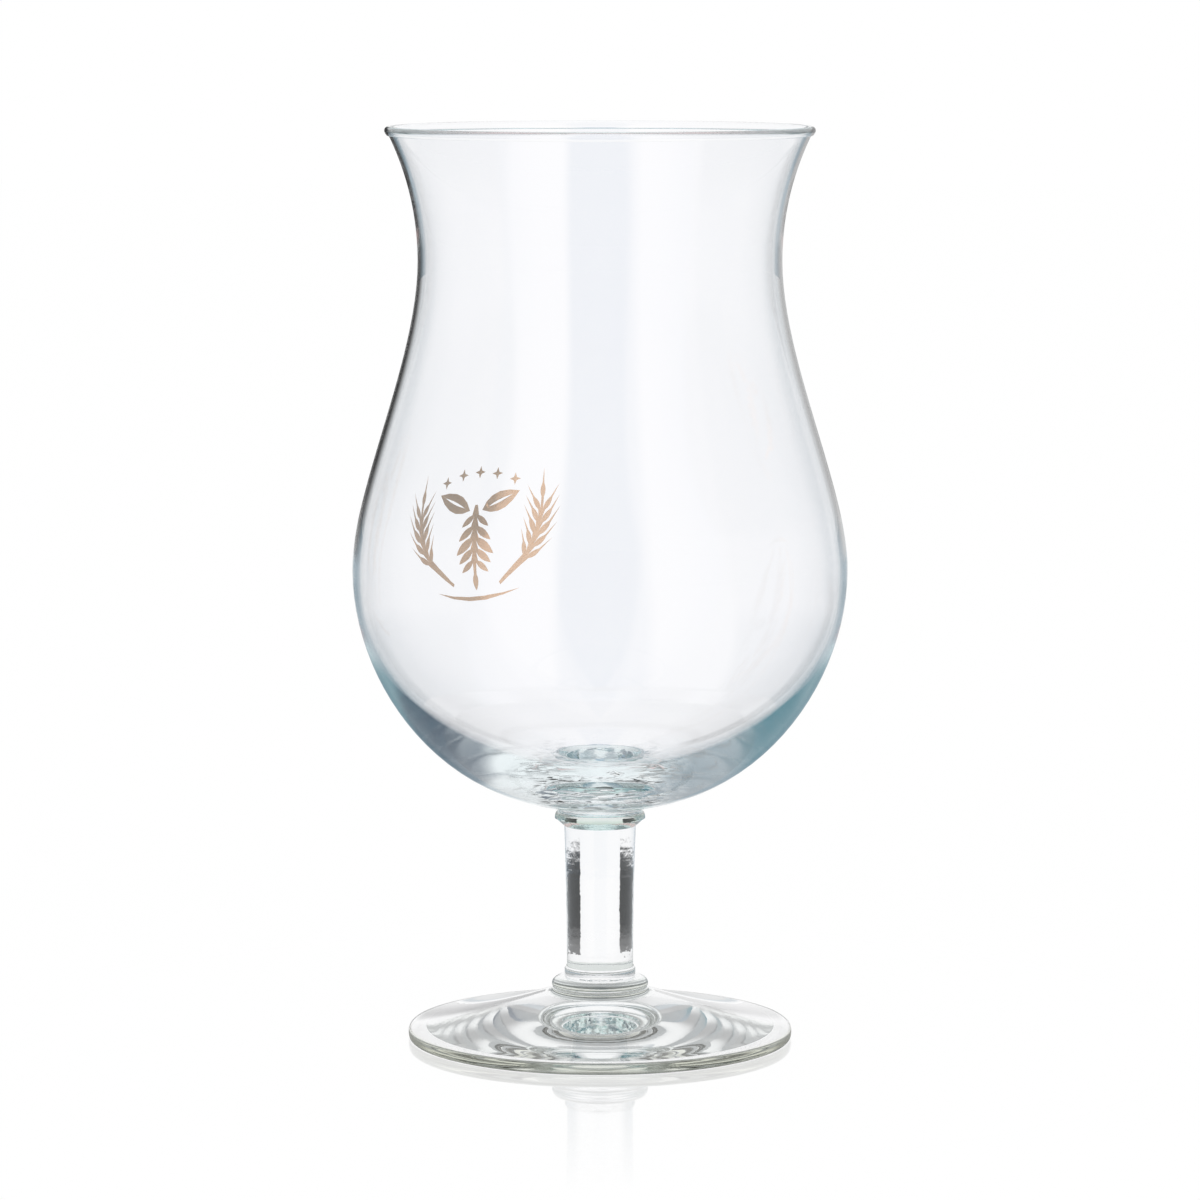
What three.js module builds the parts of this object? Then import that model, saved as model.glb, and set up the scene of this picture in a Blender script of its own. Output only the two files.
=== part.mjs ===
// A stemmed tulip beer glass: pressed foot, two weld collars, solid stem, blown bowl
// and a fired gold print on the outside of the bowl.
// Millimetres and degrees, +Z up, origin on the table under the middle of the foot.

import * as THREE from 'three';
import { TessellateModifier } from 'three/addons/modifiers/TessellateModifier.js';

// Foot
const FOOT_RADIUS = 34.8;
const FOOT_EDGE_HEIGHT = 2.2;
const FOOT_EDGE_ROUND = 0.6;
const FOOT_RISE = 6;
const FOOT_BEARING_WIDTH = 3;
const FOOT_HOLLOW_HEIGHT = 1.2;

// Lower weld collar: a spread ring with a sleeve above it
const FOOT_COLLAR_RADIUS = 8.75;
const FOOT_COLLAR_SPREAD = 1.25;
const FOOT_COLLAR_RING_HEIGHT = 3;
const FOOT_COLLAR_SLEEVE_HEIGHT = 1.9;

// Stem
const STEM_LENGTH = 25.8;
const STEM_LOWER_RADIUS = 6;
const STEM_UPPER_RADIUS = 6.5;
const COLLAR_LIP = 0.12;
const COLLAR_STEP = 0.4;

// Upper weld collar
const BOWL_COLLAR_RADIUS = 8.2;
const BOWL_COLLAR_HEIGHT = 2.5;
const PAD_RADIUS = 7.5;

// Bowl, with heights above its weld pad
const BOWL_HEIGHT = 123.6;
const BASE_RADIUS = 9.95;
const BASE_LIFT = 1.4;
const BASE_SLOPE = 9;
const BASE_THICKNESS = 7;
const FLOOR_RADIUS = 11;
const BELLY_HEIGHT = 44.1;
const BELLY_RADIUS = 44.6;
const NECK_HEIGHT = 99.6;
const NECK_RADIUS = 32.6;
const RIM_RADIUS = 38.45;
const RIM_FLARE = 25.5;
const RIM_THICKNESS = 1.5;
const WALL = 1.3;

// How full the curves are, as shares of the run that each one spans
const FOOT_EDGE_PULL = 0.4;
const FOOT_EDGE_LIFT = 0.25;
const FOOT_SEAT_PULL = 0.3;
const FOOT_SEAT_DROP = 0.4;
const COLLAR_WAIST_SHARE = 0.3;
const COLLAR_RIM_SHARE = 0.55;
const FILLET_DROP = 0.25;
const FLARE_PULL = 0.4;
const UPPER_NECK_PULL = 0.3;
const LOWER_NECK_PULL = 0.315;
const SHOULDER_PULL = 0.257;
const BELLY_PULL = 0.44;
const BASE_PULL = 0.62;
const CAVITY_BELLY_PULL = 0.7;
const CAVITY_FLOOR_PULL = 0.3;

// Print: a hop cone under two leaves, between two barley ears, with stars above and a swag below
const PRINT_AZIMUTH = 122.7;
const PRINT_HEIGHT = 45.6;
const PRINT_FILM = 0.12;
const PRINT_GAP = 0.1;
const MOTIF_GAP = 1.1;
const STALK_WIDTH = 0.6;
const CONE_STALK = 13;
const LEAF_LENGTH = 8.6;
const LEAF_WIDTH = 3.6;
const LEAF_LEAN = 66;
const VEIN_LENGTH = 5.6;
const VEIN_WIDTH = 0.5;
const BARLEY_STALK = 16;
const BARLEY_CURL = 0.7;
const STAR_RADIUS = 1.2;
const STAR_WAIST = 0.45;
const STAR_COUNT = 5;
const STAR_ARCH = 1.6;
const SWAG_LENGTH = 19;
const SWAG_WIDTH = 0.7;
const SWAG_SAG = 1.2;
const HOP_CONE = { pairs: 5, pitch: 2.2, length: 5, width: 1.7, lean: 50, taper: 0.3, awn: 0 };
const BARLEY = { pairs: 5, pitch: 2.4, length: 3.8, width: 1.15, lean: 30, taper: 0.12, awn: 3 };

// Outline of one blade: shares of its length and of its width
const BLADE = [[0.1, 0.5], [0.3, 0.9], [0.5, 1], [0.7, 0.8], [0.9, 0.35]];

// Facets
const BOWL_SIDES = 56;
const SMALL_SIDES = 40;
const LONG_STEPS = 9;
const SHORT_STEPS = 5;
const ROUND_STEPS = 3;
const LONGEST_PRINT_EDGE = 3;
const PRINT_SPLITS = 8;
const MERGE_DISTANCE = 1e-4;

// Heights of the weld faces
const FOOT_SEAT = FOOT_EDGE_HEIGHT + FOOT_RISE;
const STEM_SEAT = FOOT_SEAT + FOOT_COLLAR_RING_HEIGHT + FOOT_COLLAR_SLEEVE_HEIGHT;
const BOWL_COLLAR_SEAT = STEM_SEAT + STEM_LENGTH;
const BOWL_SEAT = BOWL_COLLAR_SEAT + BOWL_COLLAR_HEIGHT;

const radians = THREE.MathUtils.degToRad;
const at = (radius, height) => new THREE.Vector2(radius, height);

function sweep(start, pull, push, end, steps) {
  return new THREE.CubicBezierCurve(start, pull, push, end).getPoints(steps);
}

function bend(start, corner, end, steps) {
  return new THREE.QuadraticBezierCurve(start, corner, end).getPoints(steps);
}

function chain(...runs) {
  const apart = (point, index, all) => index === 0 || point.distanceTo(all[index - 1]) > MERGE_DISTANCE;
  return runs.flat().filter(apart);
}

function revolve(profile, sides) {
  return new THREE.LatheGeometry(profile, sides).rotateX(Math.PI / 2);
}

function footGeometry() {
  const stand = FOOT_RADIUS - FOOT_EDGE_ROUND;
  const hollow = stand - FOOT_BEARING_WIDTH;
  const middle = FOOT_EDGE_HEIGHT / 2;
  const seat = FOOT_COLLAR_RADIUS + FOOT_COLLAR_SPREAD;
  const span = stand - seat;
  const crown = at(0, FOOT_HOLLOW_HEIGHT);
  const side = at(FOOT_RADIUS, middle);
  const brow = at(stand, FOOT_EDGE_HEIGHT);
  const underside = bend(crown, at(hollow / 2, FOOT_HOLLOW_HEIGHT), at(hollow, 0), LONG_STEPS);
  const lowerEdge = bend(at(stand, 0), at(FOOT_RADIUS, 0), side, ROUND_STEPS);
  const upperEdge = bend(side, at(FOOT_RADIUS, FOOT_EDGE_HEIGHT), brow, ROUND_STEPS);
  const slope = sweep(
    brow,
    at(stand - FOOT_EDGE_PULL * span, FOOT_EDGE_HEIGHT + FOOT_EDGE_LIFT * FOOT_RISE),
    at(seat + FOOT_SEAT_PULL * span, FOOT_SEAT - FOOT_SEAT_DROP * FOOT_RISE),
    at(seat, FOOT_SEAT),
    LONG_STEPS,
  );
  return revolve(chain(underside, lowerEdge, upperEdge, slope, [at(0, FOOT_SEAT)]), BOWL_SIDES);
}

function footCollarGeometry() {
  const spread = FOOT_COLLAR_RADIUS + FOOT_COLLAR_SPREAD;
  const shoulder = FOOT_SEAT + FOOT_COLLAR_RING_HEIGHT;
  const waist = at(FOOT_COLLAR_RADIUS, FOOT_SEAT + COLLAR_WAIST_SHARE * FOOT_COLLAR_RING_HEIGHT);
  const step = at(STEM_LOWER_RADIUS + COLLAR_STEP, shoulder);
  const top = STEM_LOWER_RADIUS + COLLAR_LIP;
  const flare = bend(at(spread, FOOT_SEAT), at(FOOT_COLLAR_RADIUS, FOOT_SEAT), waist, ROUND_STEPS);
  const ring = bend(waist, at(FOOT_COLLAR_RADIUS, shoulder), step, SHORT_STEPS);
  const sleeve = bend(step, at(top, shoulder), at(top, STEM_SEAT), ROUND_STEPS);
  return revolve(chain([at(0, FOOT_SEAT)], flare, ring, sleeve, [at(0, STEM_SEAT)]), SMALL_SIDES);
}

function stemGeometry() {
  const lower = at(STEM_LOWER_RADIUS, STEM_SEAT);
  const waist = at(STEM_LOWER_RADIUS, STEM_SEAT + STEM_LENGTH / 2);
  const side = bend(lower, waist, at(STEM_UPPER_RADIUS, BOWL_COLLAR_SEAT), SHORT_STEPS);
  return revolve(chain([at(0, STEM_SEAT)], side, [at(0, BOWL_COLLAR_SEAT)]), SMALL_SIDES);
}

function bowlCollarGeometry() {
  const lower = at(STEM_UPPER_RADIUS + COLLAR_LIP, BOWL_COLLAR_SEAT);
  const rim = at(BOWL_COLLAR_RADIUS, BOWL_COLLAR_SEAT + COLLAR_RIM_SHARE * BOWL_COLLAR_HEIGHT);
  const over = bend(rim, at(BOWL_COLLAR_RADIUS, BOWL_SEAT), at(PAD_RADIUS, BOWL_SEAT), ROUND_STEPS);
  return revolve(chain([at(0, BOWL_COLLAR_SEAT), lower], over, [at(0, BOWL_SEAT)]), SMALL_SIDES);
}

// Outside of the bowl from the weld pad up to the lip
function bowlOutside() {
  const rise = at(Math.cos(radians(BASE_SLOPE)), Math.sin(radians(BASE_SLOPE)));
  const base = at(BASE_RADIUS, BOWL_SEAT + BASE_LIFT);
  const belly = at(BELLY_RADIUS, BOWL_SEAT + BELLY_HEIGHT);
  const neck = at(NECK_RADIUS, BOWL_SEAT + NECK_HEIGHT);
  const lip = lipPoint(1);
  const baseRun = BELLY_RADIUS - BASE_RADIUS;
  const lowerRun = BELLY_HEIGHT - BASE_LIFT;
  const upperRun = NECK_HEIGHT - BELLY_HEIGHT;
  const flareRun = lip.y - neck.y;
  const flare = at(Math.sin(radians(RIM_FLARE)), Math.cos(radians(RIM_FLARE)));
  const pad = at(PAD_RADIUS, BOWL_SEAT);
  const fillet = bend(pad, at(PAD_RADIUS, base.y - FILLET_DROP * BASE_LIFT), base, ROUND_STEPS);
  const lower = sweep(
    base,
    base.clone().addScaledVector(rise, BASE_PULL * baseRun),
    at(belly.x, belly.y - BELLY_PULL * lowerRun),
    belly,
    LONG_STEPS,
  );
  const upper = sweep(
    belly,
    at(belly.x, belly.y + SHOULDER_PULL * upperRun),
    at(neck.x, neck.y - LOWER_NECK_PULL * upperRun),
    neck,
    LONG_STEPS,
  );
  const mouth = sweep(
    neck,
    at(neck.x, neck.y + UPPER_NECK_PULL * flareRun),
    lip.clone().addScaledVector(flare, -FLARE_PULL * flareRun),
    lip,
    SHORT_STEPS,
  );
  return { fillet, lower, upper, mouth };
}

// Where the rounded lip leaves the wall: side 1 is outside, side -1 inside
function lipPoint(side) {
  const middle = at(RIM_RADIUS - RIM_THICKNESS / 2, BOWL_SEAT + BOWL_HEIGHT - RIM_THICKNESS / 2);
  const across = at(Math.cos(radians(RIM_FLARE)), -Math.sin(radians(RIM_FLARE)));
  return middle.addScaledVector(across, side * RIM_THICKNESS / 2);
}

function bowlLip() {
  const { x, y } = lipPoint(0);
  const round = RIM_THICKNESS / 2;
  const start = radians(-RIM_FLARE);
  return new THREE.EllipseCurve(x, y, round, round, start, start + Math.PI).getPoints(SHORT_STEPS);
}

// Inside of the bowl from the lip down to the middle of its floor
function bowlInside() {
  const lip = lipPoint(-1);
  const neck = at(NECK_RADIUS - WALL, BOWL_SEAT + NECK_HEIGHT);
  const belly = at(BELLY_RADIUS - WALL, BOWL_SEAT + BELLY_HEIGHT);
  const floor = at(FLOOR_RADIUS, BOWL_SEAT + BASE_THICKNESS);
  const flareRun = lip.y - neck.y;
  const upperRun = neck.y - belly.y;
  const lowerRun = belly.y - floor.y;
  const floorRun = belly.x - floor.x;
  const flare = at(Math.sin(radians(RIM_FLARE)), Math.cos(radians(RIM_FLARE)));
  const mouth = sweep(
    lip,
    lip.clone().addScaledVector(flare, -FLARE_PULL * flareRun),
    at(neck.x, neck.y + UPPER_NECK_PULL * flareRun),
    neck,
    SHORT_STEPS,
  );
  const upper = sweep(
    neck,
    at(neck.x, neck.y - LOWER_NECK_PULL * upperRun),
    at(belly.x, belly.y + SHOULDER_PULL * upperRun),
    belly,
    LONG_STEPS,
  );
  const lower = sweep(
    belly,
    at(belly.x, belly.y - CAVITY_BELLY_PULL * lowerRun),
    at(floor.x + CAVITY_FLOOR_PULL * floorRun, floor.y),
    floor,
    LONG_STEPS,
  );
  return chain(mouth, upper, lower, [at(0, floor.y)]);
}

const outside = bowlOutside();

function bowlGeometry() {
  const { fillet, lower, upper, mouth } = outside;
  const profile = chain([at(0, BOWL_SEAT)], fillet, lower, upper, mouth, bowlLip(), bowlInside());
  return revolve(profile, BOWL_SIDES);
}

const wall = chain(outside.lower, outside.upper, outside.mouth);

// Radius of the outside of the bowl at a height, on the same facets as the bowl's own
function wallRadius(height) {
  const above = wall.findIndex((point) => point.y > height);
  const low = wall[above - 1];
  const high = wall[above];
  return THREE.MathUtils.mapLinear(height, low.y, high.y, low.x, high.x);
}

// Wraps a flat outline on the bowl as a thin film: x runs round the bowl, y runs up it
function printGeometry(shape, along, above) {
  const options = { depth: PRINT_FILM, bevelEnabled: false, curveSegments: SHORT_STEPS };
  const plate = new THREE.ExtrudeGeometry(shape, options).translate(along, above, 0);
  const film = new TessellateModifier(LONGEST_PRINT_EDGE, PRINT_SPLITS).modify(plate);
  film.deleteAttribute('normal');
  film.deleteAttribute('uv');
  const place = film.attributes.position;
  for (let index = 0; index < place.count; index += 1) {
    const azimuth = radians(PRINT_AZIMUTH) + place.getX(index) / BELLY_RADIUS;
    const height = BOWL_SEAT + PRINT_HEIGHT + place.getY(index);
    const radius = wallRadius(height) + PRINT_GAP + place.getZ(index);
    place.setXYZ(index, radius * Math.cos(azimuth), radius * Math.sin(azimuth), height);
  }
  film.computeVertexNormals();
  return film;
}

// One blade of an ear, traced out and back from its root on one side of the stalk
function bladeOutline(root, ear, fullness, side) {
  const length = ear.length * fullness;
  const lean = radians(ear.lean) * side;
  const forward = at(Math.sin(lean), Math.cos(lean));
  const across = at(forward.y, -forward.x).multiplyScalar(side * ear.width * fullness / 2);
  const point = (share, breadth) => {
    const middle = root.clone().addScaledVector(forward, share * length);
    return middle.addScaledVector(across, breadth);
  };
  const out = BLADE.map(([share, breadth]) => point(share, breadth));
  const back = BLADE.map(([share, breadth]) => point(share, -breadth)).reverse();
  return [...out, point(1 + ear.awn / ear.length, 0), ...back];
}

// An ear of paired blades on a stalk that follows a curve, drawn as one closed outline
function earShape(ear, curve) {
  const span = curve.getLength();
  const rows = Array.from({ length: ear.pairs }, (_, row) => row);
  const trace = (side) => [
    at(side * STALK_WIDTH / 2, 0),
    ...rows.flatMap((row) => {
      const fullness = 1 - ear.taper * Math.abs(2 * row / (ear.pairs - 1) - 1);
      const root = at(side * STALK_WIDTH / 2, span - (ear.pairs - row) * ear.pitch);
      return bladeOutline(root, ear, fullness, side);
    }),
  ];
  const tip = bladeOutline(at(0, span), { ...ear, lean: 0 }, 1 - ear.taper, 1);
  const straight = [...trace(1), ...tip, ...trace(-1).reverse()];
  const bent = straight.map(({ x, y }) => {
    const share = Math.min(y / span, 1);
    const along = curve.getTangentAt(share);
    const past = y - share * span;
    return curve.getPointAt(share).add(at(along.y * x + along.x * past, along.y * past - along.x * x));
  });
  return new THREE.Shape(bent);
}

// How far the blades of an ear reach out from the middle of its stalk, and past its end
const earReach = (ear) => STALK_WIDTH / 2 + (ear.length + ear.awn) * Math.sin(radians(ear.lean));
const earPast = (ear) => (1 - ear.taper) * ear.length + ear.awn;

// Places in the emblem, from the middle of the hop cone's stalk
const coneTop = CONE_STALK / 2;
const coneTip = -coneTop - earPast(HOP_CONE);
const leafRoot = at(STALK_WIDTH / 2 + MOTIF_GAP, coneTop - MOTIF_GAP);
const leafTip = at(
  leafRoot.x + LEAF_LENGTH * Math.sin(radians(LEAF_LEAN)),
  leafRoot.y + LEAF_LENGTH * Math.cos(radians(LEAF_LEAN)),
);
const swagTop = coneTip - MOTIF_GAP + SWAG_SAG;
const barleyFoot = at(earReach(HOP_CONE) + MOTIF_GAP, swagTop + MOTIF_GAP);
const barleyTop = at(leafTip.x + MOTIF_GAP + earReach(BARLEY), barleyFoot.y + BARLEY_STALK);
const outerStar = at(leafTip.x - STAR_RADIUS, leafTip.y + MOTIF_GAP + STAR_RADIUS);

const hopConeShape = () => earShape(HOP_CONE, new THREE.LineCurve(at(0, coneTop), at(0, -coneTop)));

function barleyShape(side) {
  const elbow = at(side * barleyTop.x, THREE.MathUtils.lerp(barleyTop.y, barleyFoot.y, BARLEY_CURL));
  const foot = at(side * barleyFoot.x, barleyFoot.y);
  const top = at(side * barleyTop.x, barleyTop.y);
  return earShape(BARLEY, new THREE.QuadraticBezierCurve(foot, elbow, top));
}

// A pointed leaf lying outwards, with a slit along its midrib
function leafShape(side) {
  const lean = radians(LEAF_LEAN) * side;
  const blade = (start, length, width) => {
    const root = at(0, start);
    const tip = at(0, start + length);
    const bulge = start + FLARE_PULL * length;
    const right = bend(root, at(width, bulge), tip, SHORT_STEPS);
    const left = bend(tip, at(-width, bulge), root, SHORT_STEPS);
    return [...right, ...left.slice(1, -1)].map((point) => point.rotateAround(at(0, 0), -lean));
  };
  const shape = new THREE.Shape(blade(0, LEAF_LENGTH, LEAF_WIDTH));
  shape.holes.push(new THREE.Path(blade((LEAF_LENGTH - VEIN_LENGTH) / 2, VEIN_LENGTH, VEIN_WIDTH)));
  return shape;
}

function starShape() {
  const points = Array.from({ length: 8 }, (_, index) => {
    const reach = index % 2 === 0 ? STAR_RADIUS : STAR_WAIST;
    const turn = index * Math.PI / 4;
    return at(reach * Math.sin(turn), reach * Math.cos(turn));
  });
  return new THREE.Shape(points);
}

function swagShape() {
  const half = SWAG_LENGTH / 2;
  const shape = new THREE.Shape();
  shape.moveTo(-half, 0);
  shape.quadraticCurveTo(0, -2 * (SWAG_SAG + SWAG_WIDTH), half, 0);
  shape.quadraticCurveTo(0, -2 * SWAG_SAG, -half, 0);
  return shape;
}

const glass = new THREE.MeshStandardMaterial({
  color: 0xeef4f7,
  roughness: 0.03,
  metalness: 0,
  transparent: true,
  opacity: 0.35,
});
const gold = new THREE.MeshStandardMaterial({ color: 0xa9794f, roughness: 0.25, metalness: 1 });

const beerGlass = new THREE.Group();

function addPiece(name, geometry, material) {
  const mesh = new THREE.Mesh(geometry, material.clone());
  mesh.name = name;
  beerGlass.add(mesh);
}

addPiece('foot', footGeometry(), glass);
addPiece('foot_collar', footCollarGeometry(), glass);
addPiece('stem', stemGeometry(), glass);
addPiece('bowl_collar', bowlCollarGeometry(), glass);
addPiece('bowl', bowlGeometry(), glass);

addPiece('print_hop_cone', printGeometry(hopConeShape(), 0, 0), gold);
for (const [name, side] of [['left', -1], ['right', 1]]) {
  addPiece(`print_leaf_${name}`, printGeometry(leafShape(side), side * leafRoot.x, leafRoot.y), gold);
  addPiece(`print_barley_${name}`, printGeometry(barleyShape(side), 0, 0), gold);
}
for (let star = 1; star <= STAR_COUNT; star += 1) {
  const share = (2 * star - STAR_COUNT - 1) / (STAR_COUNT - 1);
  const above = outerStar.y + STAR_ARCH * (1 - share * share);
  addPiece(`print_star_${star}`, printGeometry(starShape(), share * outerStar.x, above), gold);
}
addPiece('print_swag', printGeometry(swagShape(), 0, swagTop), gold);

export default beerGlass;
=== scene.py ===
"""Looks of a stemmed tulip beer glass: clear glass pieces, a fired gold print and a white studio.

The file is laid out as an add-on and is run as a script. Metres, +Z up, the same frame as the CAD.
"""

import math
from functools import partial

import bpy
from bpy.props import FloatProperty, FloatVectorProperty, PointerProperty
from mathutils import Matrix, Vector


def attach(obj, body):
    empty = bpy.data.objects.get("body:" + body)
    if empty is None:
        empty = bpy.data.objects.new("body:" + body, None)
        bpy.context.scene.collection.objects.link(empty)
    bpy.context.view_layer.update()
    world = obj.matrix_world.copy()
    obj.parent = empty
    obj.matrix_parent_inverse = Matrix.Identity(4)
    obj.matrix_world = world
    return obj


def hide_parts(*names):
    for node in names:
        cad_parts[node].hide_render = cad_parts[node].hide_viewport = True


bl_info = {
    "name": "Tulip beer glass",
    "version": (1, 0, 0),
    "blender": (4, 5, 0),
    "location": "View3D > Sidebar > Beer glass",
    "description": "Builds the glass, its gold print and a white studio round the packed frame",
    "category": "Object",
}

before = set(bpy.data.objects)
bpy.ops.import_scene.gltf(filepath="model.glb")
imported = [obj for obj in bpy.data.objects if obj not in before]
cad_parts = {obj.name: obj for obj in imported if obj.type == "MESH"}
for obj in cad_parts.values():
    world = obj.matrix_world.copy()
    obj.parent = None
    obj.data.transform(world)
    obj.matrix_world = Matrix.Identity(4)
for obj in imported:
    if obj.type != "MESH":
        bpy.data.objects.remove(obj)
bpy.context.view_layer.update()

BODY = "root"
WHITE = (1, 1, 1)
UP = Vector((0, 0, 1))


def angles(*degrees):
    """Angles written in degrees, in the radians that nodes take."""
    return tuple(math.radians(angle) for angle in degrees)


# Sides of the spun pieces, and steps along each run of a profile
BOWL_SIDES = 160
SMALL_SIDES = 120
RUN_STEPS = 24
MERGE_DISTANCE = 1e-6
SHARP_ANGLE = math.radians(12)

# Air left between two weld faces, too thin to see, and how upright the normal of such a face is
WELD_GAP = 1e-5
WELD_UPRIGHT = 0.9999

# How full the curves are, as shares of the run that each one spans
FOOT_EDGE_PULL = 0.4
FOOT_EDGE_LIFT = 0.25
FOOT_SEAT_PULL = 0.3
FOOT_SEAT_DROP = 0.4
COLLAR_RIM_SHARE = 0.55
COLLAR_WAIST_SHARE = 0.3
FILLET_DROP = 0.25
FLARE_PULL = 0.4
UPPER_NECK_PULL = 0.3
LOWER_NECK_PULL = 0.315
SHOULDER_PULL = 0.257
BELLY_PULL = 0.44
BASE_PULL = 0.62
CAVITY_BELLY_PULL = 0.7
CAVITY_FLOOR_PULL = 0.3
QUARTER_ROUND = 0.5523

# Depth of the collar's grooves and of the step under the lip's bead, and that step's drop in half lips
COLLAR_GROOVE = 0.0003
LIP_BEAD = 0.0004
LIP_BEAD_DROP = 1.1

# Print: how far a face must look outwards to be kept, cuts for the wrap, and the angle that stays sharp
FILM_OUTWARDS = 0.5
FILM_CUTS = 2
FILM_SHARP_ANGLE = math.radians(40)

# Tones of the studio, which show only through the glass and in its reflections. Angles are turned from
# straight behind the glass, so the front is at 180 degrees. A pair is where a change starts and ends, and
# four values are the two soft edges of a band.

# Sides, straight through solid glass: dark low down, light at the top, and a window further round
ROOM_TURN = angles(24, 25.5)
ROOM_WINDOW = angles(66, 72)
ROOM_DARK = 0.03
ROOM_GREY = 0.6
ROOM_RISE = math.radians(45)
ROOM_TOP = angles(58, 66)
THROUGH_LEVEL = (0.24, 0.3)
THROUGH_RISE = angles(6, 10)

# Surfaces that a ray crosses in solid glass at most, and the grey at the sides through the empty bowl
SOLID_DEPTH = (3, 4)
FADE_TURN = angles(7, 32)
FADE_LOW = 0.66
FADE_BACK = angles(33, 43)

# Floor, told by its height: how far it counts as under the glass, the painted shade there and a ring of
# painted contact shadow in it
FLOOR_LEVEL = 1e-4
ROOM_REACH = (0.082, 0.087)
UNDER_GLASS_SHADE = (0.42, 0.435, 0.44)
RIM_CONTACT_SHADOW = (0.02, 0.02, 0.01)
RIM_SHADOW_BAND = (0.0333, 0.034, 0.0385, 0.041)

# Sides and front in a reflection, and how far the sides are lifted towards white
LEFT_TONE = (0.25, 0.33, 0.38)
RIGHT_TONE = (0.3, 0.38, 0.43)
WORLD_SIDE = angles(24, 44)
FLOOR_SIDE = angles(8, 18)
WORLD_LIFT = (0.5, 0.85)
LIFT_DEPTH = 2
FLOOR_LIFT_TURN = angles(25, 40)
NEAR_FLOOR = (0.2, 0.45)
NEAR_LIFT = 0.35
ROOM_FRONT_TURN = angles(113, 121)
ROOM_FRONT = (0.33, 0.455, 0.6)
LEFT_BAND = angles(95, 148, 157, 164)
RIGHT_BAND = angles(60, 110, 153, 162)

# Dark edges low beside the white backdrop, in a reflection
EDGE_TURN = angles(2, 6)
FLANK_TURN = angles(18, 32)
EDGE_LEVEL = (0.985, 0.995)
EDGE_LEFT = 0.04
EDGE_RIGHT = 0.5

# Tones after several reflections, with bars high up
DEEP_BOUNCES = (2, 5)
DEEP_EDGE_BAND = (*EDGE_TURN, *FLANK_TURN)
DEEP_EDGE = (0.04, 0.04, 0.04)
DEEP_LEFT_ONSET = angles(16, 38)
DEEP_RIGHT_ONSET = angles(41, 54)
DEEP_LEFT = (0.37, 0.42, 0.46)
DEEP_RIGHT = (0.23, 0.26, 0.3)
DEEP_TURN = angles(52, 86)
DEEP_LEFT_SIDE = (0.07, 0.22, 0.27)
DEEP_RIGHT_SIDE = (0.03, 0.06, 0.1)
DEEP_FRONT_TURN = angles(105, 130)
DEEP_FRONT = (0.17, 0.31, 0.35)
DEEP_RISE = angles(32, 40)
DEEP_BARS = angles(20, 24, 66, 72)
DEEP_BAR_TONE = 0.3

# Reflections after which light counts as led along the wall, first as white and then with a tone
GUIDE_BOUNCES = (30, 50)
GUIDE_LONG = (50, 70)
GUIDE_TONE = (1, 0.66, 0.64)

# Striped card round the foot, which only reflections in solid glass see: dark and light of its two rows
CARD_RADIUS = 0.065
CARD_HEIGHT = 0.024
CARD_STRIPES = 7
CARD_LIGHT_TURN = math.radians(20)
CARD_SPLIT = (0.006, 0.01)
CARD_LOW = (0.15, 1)
CARD_HIGH = (0.4, 1)

# Glass: refraction, and the waves in the skin of each piece, as their number to a metre and their depth
GLASS_IOR = 1.51
WAVE_DETAIL = 2
BOWL_WAVES = (30, 30, 18)
BOWL_WAVE_DEPTH = 5e-6
STEM_WAVES = (800, 800, 600)
STEM_WAVE_DEPTH = 3e-5
FOOT_WAVES = (260, 260, 260)
FOOT_WAVE_DEPTH = 8e-6

# Width of the band of painted shade at the edge of the foot, darkened into the glass's base colour
FOOT_EDGE_SHADE_WIDTH = 0.0005

# Facets that the hot weld left in the bottom of the bowl, and how far they fade beyond their place
MARK_SCALE = 330
MARK_RADIUS = 0.0095
MARK_RADIUS_FADE = 1.6
MARK_HEIGHT = 0.009
MARK_HEIGHT_FADE = 1.3
MARK_DEPTH = 1.5e-4

# Print: patches of tone with their range of roughness, and a fine grain
PATCH_WAVES = (220, 220, 220)
PATCH_DETAIL = 3
PATCH_ROUGHNESS = (0.08, 0.2)
GRAIN_WAVES = (6000, 6000, 6000)
GRAIN_DETAIL = 1
GRAIN_DEPTH = 2e-6

# Floor: white paper that glows, a share of real shadow on it, and its polish
PAPER_TONE = (0.95, 0.95, 0.95)
PAPER_ROUGHNESS = 0.6
SHADOW_SHARE = 0.03
MIRROR_ROUGHNESS = 0.02
MIRROR_IOR = 1.8

# Where the floor's mirror image starts at the foot, and where it fades out
MIRROR_EDGE = (0.0342, 0.0352)
MIRROR_FADE = (0.05, 0.122)

# Soft lamps: their places, width, height and what they are aimed at
LAMP_PLACES = {"left_softbox": (-0.5, -1.2, 0.5), "right_softbox": (0.8, -1.0, 0.5)}
LAMP_WIDTH = 0.35
LAMP_HEIGHT = 1.2
LAMP_TARGET = Vector((0, 0, 0.1))

# Width of the camera's sensor in millimetres
SENSOR_WIDTH = 36

# How often light may turn in the glass, and pass through clear faces
LIGHT_BOUNCES = 256
CLEAR_BOUNCES = 32


def length(name, millimetres, description):
    """A size in metres that a user may change, written in millimetres."""
    return FloatProperty(
        name=name,
        description=description,
        default=millimetres / 1000,
        min=0,
        precision=5,
        unit="LENGTH",
    )


def tilt(name, degrees, description):
    """An angle that a user may change, written in degrees."""
    return FloatProperty(
        name=name,
        description=description,
        default=math.radians(degrees),
        subtype="ANGLE",
    )


def tone(name, rgb, description):
    """A colour that a user may change."""
    return FloatVectorProperty(
        name=name,
        description=description,
        default=rgb,
        size=3,
        min=0,
        max=1,
        subtype="COLOR",
    )


def amount(name, value, description, subtype="NONE"):
    """A plain number that a user may change."""
    return FloatProperty(name=name, description=description, default=value, min=0, subtype=subtype)


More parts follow.
